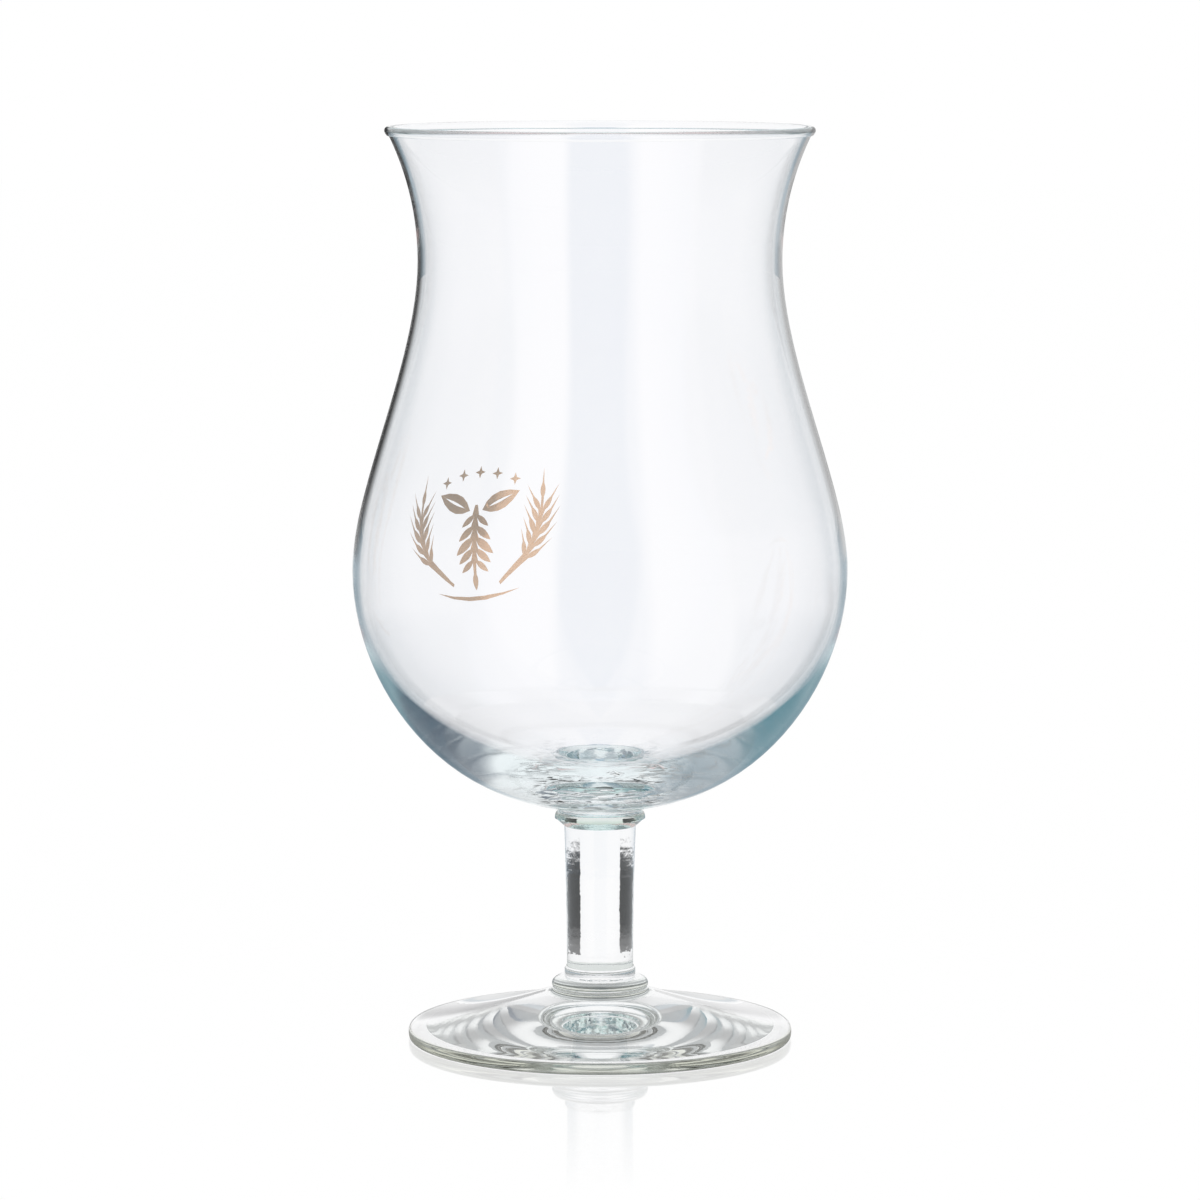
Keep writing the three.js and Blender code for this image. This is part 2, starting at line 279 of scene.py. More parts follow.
def spot(name, place, description):
    """A place in the studio that a user may change."""
    return FloatVectorProperty(
        name=name,
        description=description,
        default=place,
        size=3,
        subtype="TRANSLATION",
    )


class FootSizes(bpy.types.PropertyGroup):
    """Sizes of the pressed foot and of the collar that joins it to the stem."""

    radius: length("Radius", 34.8, "Outside radius of the foot")
    edge_height: length("Edge height", 2.2, "Thickness of the foot at its edge")
    edge_round: length("Edge round", 0.6, "Radius of the rounded edge")
    rise: length("Rise", 6, "Rise of the upper face from the edge to the collar")
    bearing: length("Bearing width", 3, "Width of the flat ring that stands on the table")
    hollow: length("Hollow height", 1.2, "Height of the hollow under the middle")
    collar_radius: length("Collar radius", 8.75, "Radius of the collar's ring")
    collar_spread: length("Collar spread", 1.25, "How far the ring spreads on the foot")
    ring_height: length("Ring height", 3, "Height of the collar's ring")
    sleeve_height: length("Sleeve height", 1.9, "Height of the sleeve above the ring")


class StemSizes(bpy.types.PropertyGroup):
    """Sizes of the solid stem and of the collar under the bowl."""

    length: length("Length", 25.8, "Length of the stem between its collars")
    lower_radius: length("Lower radius", 6, "Radius of the stem at the foot")
    upper_radius: length("Upper radius", 6.5, "Radius of the stem at the bowl")
    collar_lip: length("Collar lip", 0.12, "How far a collar stands out from the stem at their joint")
    collar_step: length("Collar step", 0.4, "How far the sleeve's root stands out from the stem")
    collar_radius: length("Collar radius", 8.2, "Radius of the collar under the bowl")
    collar_height: length("Collar height", 2.5, "Height of the collar under the bowl")
    pad_radius: length("Pad radius", 7.5, "Radius of the face that carries the bowl")


class BowlSizes(bpy.types.PropertyGroup):
    """Sizes of the blown bowl, with heights above the face that carries it."""

    height: length("Height", 123.59, "Height of the bowl")
    base_radius: length("Base radius", 9.95, "Radius where the fillet meets the base")
    base_lift: length("Base lift", 1.4, "Height of the fillet")
    base_slope: tilt("Base slope", 9, "Slope of the base above the fillet")
    base_thickness: length("Base thickness", 7, "Thickness of glass under the inside floor")
    floor_radius: length("Floor radius", 11, "Radius of the flat middle of the inside floor")
    belly_height: length("Belly height", 44.1, "Height of the widest place")
    belly_radius: length("Belly radius", 44.6, "Outside radius of the widest place")
    neck_height: length("Neck height", 99.6, "Height of the waisted neck")
    neck_radius: length("Neck radius", 32.6, "Outside radius of the neck")
    rim_radius: length("Rim radius", 38.45, "Outside radius of the rim")
    rim_flare: tilt("Rim flare", 25.5, "Lean of the wall at the rim")
    rim_thickness: length("Rim thickness", 1.5, "Thickness of the rounded lip")
    wall: length("Wall", 1.3, "Thickness of the wall from belly to neck")


class Finish(bpy.types.PropertyGroup):
    """Colours and depths of the glass and of the print."""

    glass_tint: tone("Glass tint", (0.06, 0.7, 0.76), "Colour that the bowl's thick glass lets through")
    glass_cool: tone("Cool glass", (0.985, 0.984, 1), "Cooler of the skin's two shades")
    glass_clear: tone("Clear glass", (0.997, 0.995, 1), "Clearer of the skin's two shades")
    foot_tint: tone("Foot tint", (0.3, 0.55, 0.38), "Colour that stem and foot let through")
    # Painted shade: an olive grey that darkens the foot's base colour at its rounded edge
    foot_edge_shade: tone("Foot edge", (0.72, 0.72, 0.62), "Shade at the foot's rounded edge")
    bowl_depth: amount("Bowl depth", 1.5, "How strongly the bowl takes up light, per metre")
    stem_depth: amount("Stem depth", 1.3, "How strongly stem and foot take up light, per metre")
    gold: tone("Gold", (0.84, 0.58, 0.37), "Colour of the print where it is thick")
    copper: tone("Copper", (0.7, 0.44, 0.27), "Colour of the print where it is thin")
    print_offset: length("Print offset", 0.03, "Distance of the print from the bowl")
    print_film: length("Print film", 0.02, "Thickness of the print")


class Studio(bpy.types.PropertyGroup):
    """Camera, floor and lamps."""

    camera_place: spot("Camera place", (0, -0.92262, 0.19072), "Where the camera stands")
    camera_target: spot("Camera target", (0, 0, 0.07989), "The point that the camera looks at")
    lens: FloatProperty(name="Lens", description="Focal length in millimetres", default=154.68, min=1)
    floor_half: length("Floor half width", 4000, "Half the width of the floor")
    lamp_strength: amount("Lamp strength", 3, "Power of each soft lamp in watts", "POWER")


def point(radius, height):
    """A place on the upright half plane that a profile is drawn in."""
    return Vector((radius, 0, height))


def sweep(start, pull, push, end):
    """A curved run with its two handles."""
    return (start, pull, push, end)


def line(start, end):
    """A straight run."""
    return sweep(start, start.lerp(end, 1 / 3), start.lerp(end, 2 / 3), end)


def bend(start, corner, end):
    """A run that turns once, towards a corner that it doesn't reach."""
    return sweep(start, start.lerp(corner, 2 / 3), end.lerp(corner, 2 / 3), end)


def select_only(obj):
    """Makes an object the only selected one."""
    bpy.ops.object.select_all(action="DESELECT")
    obj.select_set(True)
    bpy.context.view_layer.objects.active = obj


def spin_piece(name, runs, sides):
    """Draws a profile as a curve and spins it into a closed, smooth piece."""
    bpy.ops.object.select_all(action="DESELECT")
    bpy.ops.curve.primitive_bezier_curve_add(location=(0, 0, 0))
    piece = bpy.context.object
    piece.name = name
    piece.data.resolution_u = RUN_STEPS
    spline = piece.data.splines[0]
    spline.resolution_u = RUN_STEPS
    spline.bezier_points.add(len(runs) - 1)
    for knot in spline.bezier_points:
        knot.handle_left_type = "FREE"
        knot.handle_right_type = "FREE"
    knots = spline.bezier_points
    for before, after, (start, pull, push, end) in zip(knots[:-1], knots[1:], runs):
        before.co = start
        before.handle_right = pull
        after.handle_left = push
        after.co = end
    bpy.ops.object.convert(target="MESH")
    bpy.ops.object.mode_set(mode="EDIT")
    bpy.ops.mesh.select_all(action="SELECT")
    bpy.ops.mesh.spin(steps=sides, angle=math.tau, center=(0, 0, 0), axis=(0, 0, 1))
    bpy.ops.mesh.select_all(action="SELECT")
    bpy.ops.mesh.remove_doubles(threshold=MERGE_DISTANCE)
    bpy.ops.mesh.normals_make_consistent(inside=False)
    bpy.ops.object.mode_set(mode="OBJECT")
    bpy.ops.object.shade_smooth_by_angle(angle=SHARP_ANGLE)
    piece.data.name = name
    return piece


def clear_welds(piece, heights):
    """Gives the flat weld faces at these heights the piece's last material, which light passes unbent."""
    weld = len(piece.data.materials) - 1
    for face in piece.data.polygons:
        flat = abs(face.normal.z) > WELD_UPRIGHT
        if flat and any(abs(face.center.z - height) < WELD_GAP / 2 for height in heights):
            face.material_index = weld


def fit_piece(piece, node):
    """Lets a finished piece ride on the body and stand for its CAD node."""
    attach(piece, BODY)
    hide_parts(node)


def new_material(name):
    """An empty node material with an output."""
    material = bpy.data.materials.new(name)
    material.use_nodes = True
    material.node_tree.nodes.clear()
    output = material.node_tree.nodes.new("ShaderNodeOutputMaterial")
    return material, material.node_tree, output


def new_group(name, inputs, outputs):
    """An empty node group with its two ends, from the names and kinds of its sockets."""
    group = bpy.data.node_groups.new(name, "ShaderNodeTree")
    for way, sockets in (("INPUT", inputs), ("OUTPUT", outputs)):
        for label, kind in sockets.items():
            group.interface.new_socket(label, in_out=way, socket_type="NodeSocket" + kind)
    return group, group.nodes.new("NodeGroupInput"), group.nodes.new("NodeGroupOutput")


def feed(tree, node, inputs):
    """Sets a node's inputs to plain values or to the sockets of other nodes."""
    for name, value in inputs.items():
        socket = node.inputs[name]
        if isinstance(value, bpy.types.NodeSocket):
            tree.links.new(value, socket)
        elif socket.type == "RGBA":
            socket.default_value = (*value, 1)
        else:
            socket.default_value = value


def add_node(tree, kind, inputs):
    """A shader node with its inputs."""
    node = tree.nodes.new("ShaderNode" + kind)
    feed(tree, node, inputs)
    return node


def add_group(tree, group, inputs):
    """Outputs of a node group that is placed in a tree."""
    node = tree.nodes.new("ShaderNodeGroup")
    node.node_tree = group
    feed(tree, node, inputs)
    return node.outputs


def math_node(tree, operation, *values):
    """Result of a Math node that is fed with sockets or plain numbers."""
    node = tree.nodes.new("ShaderNodeMath")
    node.operation = operation
    feed(tree, node, dict(enumerate(values)))
    return node.outputs["Value"]


def ramp_node(tree, value, start, end, low, high, step="SMOOTHSTEP"):
    """A step from one level to another while a value goes from start to end."""
    node = tree.nodes.new("ShaderNodeMapRange")
    node.interpolation_type = step
    feed(tree, node, {"Value": value, "From Min": start, "From Max": end, "To Min": low, "To Max": high})
    return node.outputs["Result"]


def blend_node(tree, share, first, second):
    """A blend of two colours, each a socket or a plain colour."""
    node = tree.nodes.new("ShaderNodeMix")
    node.data_type = "RGBA"
    feed(tree, node, {"Factor": share, "A": first, "B": second})
    return node.outputs["Result"]


def blend_shaders(tree, share, first, second):
    """A node that blends two shader nodes."""
    return add_node(tree, "MixShader", {"Fac": share, 1: first.outputs[0], 2: second.outputs[0]})


def soft_band(tree, value, edges):
    """One inside a band of values and zero outside, with soft edges."""
    rising = ramp_node(tree, value, *edges[:2], 0, 1)
    falling = ramp_node(tree, value, *edges[2:], 1, 0)
    return math_node(tree, "MULTIPLY", rising, falling)


def split_place(tree, place):
    """The three coordinates of a place."""
    return add_node(tree, "SeparateXYZ", {"Vector": place}).outputs


def axis_reach(tree, place):
    """Distance of a place from the upright axis."""
    squares = [math_node(tree, "POWER", axis, 2) for axis in split_place(tree, place)[:2]]
    return math_node(tree, "SQRT", math_node(tree, "ADD", *squares))


def object_place(tree):
    """Place of a point on its object."""
    return add_node(tree, "TexCoord", {}).outputs["Object"]


def ripple_group():
    """A node group whose height follows a stretched noise, for waves in glass and metal."""
    if "surface_ripple" in bpy.data.node_groups:
        return bpy.data.node_groups["surface_ripple"]
    inputs = {"Stretch": "Vector", "Detail": "Float"}
    group, entry, leave = new_group("surface_ripple", inputs, {"Height": "Float"})
    stretched = add_node(
        group,
        "Mapping",
        {"Vector": object_place(group), "Scale": entry.outputs["Stretch"]},
    )
    noise = add_node(
        group,
        "TexNoise",
        {"Vector": stretched.outputs["Vector"], "Scale": 1, "Detail": entry.outputs["Detail"]},
    )
    feed(group, leave, {"Height": noise.outputs["Fac"]})
    return group


def add_ripple(tree, stretch, detail):
    """Height of the waves in a material."""
    return add_group(tree, ripple_group(), {"Stretch": stretch, "Detail": detail})["Height"]


def room_group():
    """A node group with the studio's tones: white behind, dark at both sides, soft bands in front, and
    painted shade with a ring of painted contact shadow on the floor under the glass.

    Place is a ray's direction, or its place on the floor. Lift falls from one to zero with the surfaces that
    the ray crosses, Deep grows from zero to one with its reflections, and Solid is one in solid glass.
    """
    if "studio_room" in bpy.data.node_groups:
        return bpy.data.node_groups["studio_room"]
    inputs = {"Place": "Vector", "Lift": "Float", "Deep": "Float", "Solid": "Float"}
    outputs = {"Through": "Float", "Behind": "Float", "Mirrored": "Color"}
    group, entry, leave = new_group("studio_room", inputs, outputs)
    maths = partial(math_node, group)
    ramp = partial(ramp_node, group)
    blend = partial(blend_node, group)
    band = partial(soft_band, group)
    x, y, z = split_place(group, entry.outputs["Place"])
    level = axis_reach(group, entry.outputs["Place"])
    across = maths("ABSOLUTE", x)
    fold = maths("ARCTAN2", across, maths("ABSOLUTE", y))
    turn = maths("ARCTAN2", across, y)
    rise = maths("ARCTAN2", z, level)
    right = maths("GREATER_THAN", x, 0)
    ground = maths("LESS_THAN", maths("ABSOLUTE", z), FLOOR_LEVEL)
    far = ramp(level, *ROOM_REACH, 0, 1)

    # Straight through solid glass, and through the empty bowl
    low = ramp(rise, 0, ROOM_RISE, ROOM_DARK, ROOM_GREY)
    side = ramp(rise, *ROOM_TOP, low, 1)
    dark = ramp(turn, *ROOM_TURN, 1, side)
    window = ramp(turn, *ROOM_WINDOW, dark, 1)
    nearby = ramp(level, *THROUGH_LEVEL, window, 1)
    above = ramp(rise, *THROUGH_RISE, 1, window)
    through = ramp(far, 0, 1, 1, ramp(ground, 0, 1, above, nearby))
    fading = ramp(turn, *FADE_TURN, 1, FADE_LOW, "LINEAR")
    behind = ramp(turn, *FADE_BACK, fading, 1)

    # After a few reflections
    world_lift = ramp(entry.outputs["Lift"], 0, 1, *WORLD_LIFT)
    floor_lift = ramp(turn, *FLOOR_LIFT_TURN, 0, world_lift)
    near_lift = ramp(level, *NEAR_FLOOR, NEAR_LIFT, 1)
    lift = ramp(ground, 0, 1, world_lift, maths("MULTIPLY", floor_lift, near_lift))
    lifted = blend(lift, blend(right, LEFT_TONE, RIGHT_TONE), WHITE)
    side_start = ramp(ground, 0, 1, WORLD_SIDE[0], FLOOR_SIDE[0])
    side_end = ramp(ground, 0, 1, WORLD_SIDE[1], FLOOR_SIDE[1])
    close = blend(ramp(turn, side_start, side_end, 0, 1), WHITE, lifted)
    edge = ramp(turn, *EDGE_TURN, 1, ramp(right, 0, 1, EDGE_LEFT, EDGE_RIGHT))
    distant = blend(ramp(turn, *FLANK_TURN, 0, 1), edge, lifted)
    beyond = ramp(level, *EDGE_LEVEL, 0, 1)
    flank = blend(beyond, close, distant)
    bands = ramp(right, 0, 1, band(turn, LEFT_BAND), band(turn, RIGHT_BAND))
    front = blend(bands, ROOM_FRONT, WHITE)
    shallow = blend(ramp(turn, *ROOM_FRONT_TURN, 0, 1), flank, front)

    # After several reflections
    brink = maths("MULTIPLY", beyond, band(turn, DEEP_EDGE_BAND))
    back = blend(brink, WHITE, DEEP_EDGE)
    deep_start = ramp(right, 0, 1, DEEP_LEFT_ONSET[0], DEEP_RIGHT_ONSET[0])
    deep_end = ramp(right, 0, 1, DEEP_LEFT_ONSET[1], DEEP_RIGHT_ONSET[1])
    near_tone = blend(right, DEEP_LEFT, DEEP_RIGHT)
    near_side = blend(ramp(turn, deep_start, deep_end, 0, 1), back, near_tone)
    far_side = blend(right, DEEP_LEFT_SIDE, DEEP_RIGHT_SIDE)
    sides = blend(ramp(turn, *DEEP_TURN, 0, 1), near_side, far_side)
    around = blend(ramp(turn, *DEEP_FRONT_TURN, 0, 1), sides, DEEP_FRONT)
    barred = ramp(band(fold, DEEP_BARS), 0, 1, 1, DEEP_BAR_TONE)
    deep = blend(ramp(rise, *DEEP_RISE, 0, 1), around, barred)
    mirrored = blend(entry.outputs["Deep"], shallow, deep)

    # Painted shade of the floor under the glass, with a ring of painted contact shadow by the foot's rim, in
    # a reflection
    under = blend(band(level, RIM_SHADOW_BAND), UNDER_GLASS_SHADE, RIM_CONTACT_SHADOW)
    painted_floor_shade = blend(entry.outputs["Solid"], mirrored, under)
    feed(
        group,
        leave,
        {"Through": through, "Behind": behind, "Mirrored": blend(far, painted_floor_shade, mirrored)},
    )
    return group


def weld_marks(tree, seat):
    """Height of the facets that the hot weld leaves round a place on the axis."""
    place = object_place(tree)
    height = split_place(tree, place)["Z"]
    cells = add_node(tree, "TexVoronoi", {"Vector": place, "Scale": MARK_SCALE})
    near = ramp_node(tree, axis_reach(tree, place), MARK_RADIUS, MARK_RADIUS_FADE * MARK_RADIUS, 1, 0)
    low = ramp_node(tree, height, seat + MARK_HEIGHT, seat + MARK_HEIGHT_FADE * MARK_HEIGHT, 1, 0)
    return math_node(tree, "MULTIPLY", math_node(tree, "MULTIPLY", near, low), cells.outputs["Distance"])


def tint_volume(tree, output, colour, absorb):
    """Gives a material the tint that grows with the thickness of the glass."""
    tint = add_node(tree, "VolumeAbsorption", {"Color": colour, "Density": absorb})
    feed(tree, output, {"Volume": tint.outputs["Volume"]})


def glass_material(name, stretch, depth, colour, absorb, marks=None, edge=None):
    """Clear glass: sharp refraction, tint that grows with thickness and a rippled skin.

    Marks is the height of a weld with facets round it, and edge the radius of an edge with a band of painted
    shade in the base colour.
    """
    finish = bpy.context.scene.beer_glass_finish
    material, tree, output = new_material(name)
    height = add_ripple(tree, stretch, WAVE_DETAIL)
    skin_tone_and_edge_shade = blend_node(tree, height, finish.glass_cool, finish.glass_clear)
    if marks is not None:
        facets = math_node(tree, "MULTIPLY", weld_marks(tree, marks), MARK_DEPTH / depth)
        height = math_node(tree, "ADD", height, facets)
    # Painted shade: the base colour turns darker in a thin band at the edge
    if edge is not None:
        reach = axis_reach(tree, object_place(tree))
        outer = ramp_node(tree, reach, edge - FOOT_EDGE_SHADE_WIDTH, edge, 0, 1)
        skin_tone_and_edge_shade = blend_node(tree, outer, skin_tone_and_edge_shade, finish.foot_edge_shade)
    bump = add_node(tree, "Bump", {"Strength": 1, "Distance": depth, "Height": height})
    glass = add_node(
        tree,
        "BsdfPrincipled",
        {
            "Base Color": skin_tone_and_edge_shade,
            "Roughness": 0,
            "IOR": GLASS_IOR,
            "Transmission Weight": 1,
            "Normal": bump.outputs["Normal"],
        },
    )
    feed(tree, output, {"Surface": glass.outputs["BSDF"]})
    tint_volume(tree, output, colour, absorb)
    return material


def weld_material(name, colour, absorb):
    """The face where two pieces are welded: fully clear, so light goes on unbent."""
    material, tree, output = new_material(name)
    face = add_node(tree, "BsdfPrincipled", {"Alpha": 0})
    feed(tree, output, {"Surface": face.outputs["BSDF"]})
    tint_volume(tree, output, colour, absorb)
    return material


def gold_material():
    """Fired metallic print: gold and copper tones under a fine grain."""
    finish = bpy.context.scene.beer_glass_finish
    material, tree, output = new_material("fired_gold")
    patches = add_ripple(tree, PATCH_WAVES, PATCH_DETAIL)
    grain = add_ripple(tree, GRAIN_WAVES, GRAIN_DETAIL)
    bump = add_node(tree, "Bump", {"Strength": 1, "Distance": GRAIN_DEPTH, "Height": grain})
    metal = add_node(
        tree,
        "BsdfPrincipled",
        {
            "Base Color": blend_node(tree, patches, finish.copper, finish.gold),
            "Metallic": 1,
            "Roughness": ramp_node(tree, patches, 0, 1, *PATCH_ROUGHNESS, "LINEAR"),
            "Normal": bump.outputs["Normal"],
        },
    )
    feed(tree, output, {"Surface": metal.outputs["BSDF"]})
    return material


def finish_glass(piece, node, glass, tint, absorb, *welds):
    """Gives a piece its glass and clear weld faces, and its place in the frame."""
    piece.data.materials.append(glass)
    piece.data.materials.append(weld_material(node + "_weld", tint, absorb))
    clear_welds(piece, welds)
    fit_piece(piece, node)


def foot_seat(foot):
    """Height of the weld face on the foot."""
    return foot.edge_height + foot.rise


def stem_seat(foot):
    """Height of the weld face under the stem."""
    return foot_seat(foot) + foot.ring_height + foot.sleeve_height


def collar_seat(foot, stem):
    """Height of the weld face on top of the stem."""
    return stem_seat(foot) + stem.length


def bowl_seat(foot, stem):
    """Height of the weld face under the bowl."""
    return collar_seat(foot, stem) + stem.collar_height


class BEERGLASS_OT_foot(bpy.types.Operator):
    """Spins the pressed foot: low cone above, shallow hollow below, flat standing ring"""

    bl_idname = "beer_glass.foot"
    bl_label = "Foot"

    def execute(self, context):
        foot = context.scene.beer_glass_foot
        top = foot_seat(foot)
        stand = foot.radius - foot.edge_round
        hollow = stand - foot.bearing
        middle = foot.edge_height / 2
        seat = foot.collar_radius + foot.collar_spread
        span = stand - seat
        crown = point(0, foot.hollow)
        side = point(foot.radius, middle)
        brow = point(stand, foot.edge_height)
        edge_pull = point(stand - FOOT_EDGE_PULL * span, foot.edge_height + FOOT_EDGE_LIFT * foot.rise)
        seat_push = point(seat + FOOT_SEAT_PULL * span, top - FOOT_SEAT_DROP * foot.rise)
        runs = [
            bend(crown, point(hollow / 2, foot.hollow), point(hollow, 0)),
            line(point(hollow, 0), point(stand, 0)),
            bend(point(stand, 0), point(foot.radius, 0), side),
            bend(side, point(foot.radius, foot.edge_height), brow),
            sweep(brow, edge_pull, seat_push, point(seat, top)),
            line(point(seat, top), point(0, top)),
        ]
        piece = spin_piece("pressed_foot", runs, BOWL_SIDES)
        tint = context.scene.beer_glass_finish.foot_tint
        absorb = context.scene.beer_glass_finish.stem_depth
        glass = glass_material(
            "foot_glass", FOOT_WAVES, FOOT_WAVE_DEPTH, tint, absorb, edge=foot.radius
        )
        finish_glass(piece, "foot", glass, tint, absorb, top)
        return {"FINISHED"}


class BEERGLASS_OT_stem(bpy.types.Operator):
    """Spins the solid stem and the two weld collars at its ends"""

    bl_idname = "beer_glass.stem"
    bl_label = "Stem and collars"

    def execute(self, context):
        foot = context.scene.beer_glass_foot
        stem = context.scene.beer_glass_stem
        self.lower_collar(foot, stem)
        self.shaft(foot, stem)
        self.upper_collar(foot, stem)
        return {"FINISHED"}

    def finish_piece(self, piece, node, low, high):
        """Gives a piece its glass and its two weld faces."""
        tint = bpy.context.scene.beer_glass_finish.foot_tint
        absorb = bpy.context.scene.beer_glass_finish.stem_depth
        glass = glass_material(node + "_glass", STEM_WAVES, STEM_WAVE_DEPTH, tint, absorb)
        finish_glass(piece, node, glass, tint, absorb, low, high)

    def lower_collar(self, foot, stem):
        low = foot_seat(foot) + WELD_GAP
        high = stem_seat(foot)
        shoulder = foot_seat(foot) + foot.ring_height
        ring = foot.collar_radius
        inner = ring - COLLAR_GROOVE
        waist = low + COLLAR_WAIST_SHARE * foot.ring_height
        top = stem.lower_radius + stem.collar_lip
        outer = top + COLLAR_GROOVE
        spread = point(ring + foot.collar_spread, low)
        groove = point(inner, waist + COLLAR_GROOVE)
        brow = point(ring, waist + 2 * COLLAR_GROOVE)
        step = point(stem.lower_radius + stem.collar_step, shoulder)
        lip = point(top, high - COLLAR_GROOVE)
        sleeve = point(outer, lip.z - COLLAR_GROOVE)
        runs = [
            line(point(0, low), spread),
            bend(spread, point(ring, low), point(ring, waist)),
            bend(point(ring, waist), point(inner, waist), groove),
            bend(groove, point(inner, brow.z), brow),
            bend(brow, point(ring, shoulder), step),
            bend(step, point(outer, shoulder), sleeve),
            bend(sleeve, point(outer, lip.z), lip),
            line(lip, point(top, high)),
            line(point(top, high), point(0, high)),
        ]
        piece = spin_piece("lower_weld_collar", runs, SMALL_SIDES)
        self.finish_piece(piece, "foot_collar", low, high)

    def shaft(self, foot, stem):
        low = stem_seat(foot) + WELD_GAP
        high = collar_seat(foot, stem)
        lower = point(stem.lower_radius, low)
        waist = point(stem.lower_radius, low + stem.length / 2)
        upper = point(stem.upper_radius, high)
        runs = [
            line(point(0, low), lower),
            bend(lower, waist, upper),
            line(upper, point(0, high)),
        ]
        piece = spin_piece("solid_stem", runs, SMALL_SIDES)
        self.finish_piece(piece, "stem", low, high)

    def upper_collar(self, foot, stem):
        low = collar_seat(foot, stem) + WELD_GAP
        high = bowl_seat(foot, stem)
        lower = point(stem.upper_radius + stem.collar_lip, low)
        rim = point(stem.collar_radius, low + COLLAR_RIM_SHARE * stem.collar_height)
        pad = point(stem.pad_radius, high)
        runs = [
            line(point(0, low), lower),
            line(lower, rim),
            bend(rim, point(stem.collar_radius, high), pad),
            line(pad, point(0, high)),
        ]
        piece = spin_piece("upper_weld_collar", runs, SMALL_SIDES)
        self.finish_piece(piece, "bowl_collar", low, high)


class BEERGLASS_OT_bowl(bpy.types.Operator):
    """Spins the blown bowl: thick base, thin wall, waisted neck and rounded rim"""

    bl_idname = "beer_glass.bowl"
    bl_label = "Bowl"

    def execute(self, context):
        scene = context.scene
        bowl = scene.beer_glass_bowl
        seat = bowl_seat(scene.beer_glass_foot, scene.beer_glass_stem)
        low = seat + WELD_GAP
        pad = point(scene.beer_glass_stem.pad_radius, low)
        runs = [
            line(point(0, low), pad),
            *self.outside(bowl, seat, pad),
            *self.lip(bowl, seat),
            *self.inside(bowl, seat),
        ]
        piece = spin_piece("blown_bowl", runs, BOWL_SIDES)
        tint = scene.beer_glass_finish.glass_tint
        absorb = scene.beer_glass_finish.bowl_depth
        glass = glass_material("bowl_glass", BOWL_WAVES, BOWL_WAVE_DEPTH, tint, absorb, marks=seat)
        finish_glass(piece, "bowl", glass, tint, absorb, low)
        return {"FINISHED"}

    def lip_middle(self, bowl, seat):
        """Middle of the rounded lip."""
        half = bowl.rim_thickness / 2
        return point(bowl.rim_radius - half, seat + bowl.height - half)

    def across(self, bowl):
        """Direction out through the wall at the rim."""
        return point(math.cos(bowl.rim_flare), -math.sin(bowl.rim_flare))

    def along(self, bowl):
        """Direction up the wall at the rim."""
        return point(math.sin(bowl.rim_flare), math.cos(bowl.rim_flare))

    def outside(self, bowl, seat, pad):
        """Runs from the weld pad up to the lip, with the step under its bead."""
        rise = point(math.cos(bowl.base_slope), math.sin(bowl.base_slope))
        base = point(bowl.base_radius, seat + bowl.base_lift)
        belly = point(bowl.belly_radius, seat + bowl.belly_height)
        neck = point(bowl.neck_radius, seat + bowl.neck_height)
        half = bowl.rim_thickness / 2
        brim = self.lip_middle(bowl, seat) + self.across(bowl) * half
        end = brim - self.across(bowl) * LIP_BEAD - self.along(bowl) * LIP_BEAD_DROP * half
        under = end + self.across(bowl) * LIP_BEAD
        base_run = bowl.belly_radius - bowl.base_radius
        lower_run = bowl.belly_height - bowl.base_lift
        upper_run = bowl.neck_height - bowl.belly_height
        flare_run = end.z - neck.z
        return [
            bend(pad, point(pad.x, base.z - FILLET_DROP * bowl.base_lift), base),
            sweep(
                base,
                base + rise * BASE_PULL * base_run,
                belly - UP * BELLY_PULL * lower_run,
                belly,
            ),
            sweep(
                belly,
                belly + UP * SHOULDER_PULL * upper_run,
                neck - UP * LOWER_NECK_PULL * upper_run,
                neck,
            ),
            sweep(
                neck,
                neck + UP * UPPER_NECK_PULL * flare_run,
                end - self.along(bowl) * FLARE_PULL * flare_run,
                end,
            ),
            bend(end, under, brim),
        ]

    def lip(self, bowl, seat):
        """Half round from the outside of the wall over to the inside."""
        half = bowl.rim_thickness / 2
        middle = self.lip_middle(bowl, seat)
        out = self.across(bowl) * half
        up = self.along(bowl) * half
        return [
            sweep(
                middle + out,
                middle + out + up * QUARTER_ROUND,
                middle + up + out * QUARTER_ROUND,
                middle + up,
            ),
            sweep(
                middle + up,
                middle + up - out * QUARTER_ROUND,
                middle - out + up * QUARTER_ROUND,
                middle - out,
            ),
        ]

    def inside(self, bowl, seat):
        """Runs from the lip down to the middle of the floor."""
        start = self.lip_middle(bowl, seat) - self.across(bowl) * bowl.rim_thickness / 2
        neck = point(bowl.neck_radius - bowl.wall, seat + bowl.neck_height)
        belly = point(bowl.belly_radius - bowl.wall, seat + bowl.belly_height)
        floor = point(bowl.floor_radius, seat + bowl.base_thickness)
        floor_run = belly.x - floor.x
        flare_run = start.z - neck.z
        upper_run = neck.z - belly.z
        lower_run = belly.z - floor.z
        return [
            sweep(
                start,
                start - self.along(bowl) * FLARE_PULL * flare_run,
                neck + UP * UPPER_NECK_PULL * flare_run,
                neck,
            ),
            sweep(
                neck,
                neck - UP * LOWER_NECK_PULL * upper_run,
                belly + UP * SHOULDER_PULL * upper_run,
                belly,
            ),
            sweep(
                belly,
                belly - UP * CAVITY_BELLY_PULL * lower_run,
                point(floor.x + CAVITY_FLOOR_PULL * floor_run, floor.z),
                floor,
            ),
            line(floor, point(0, floor.z)),
        ]


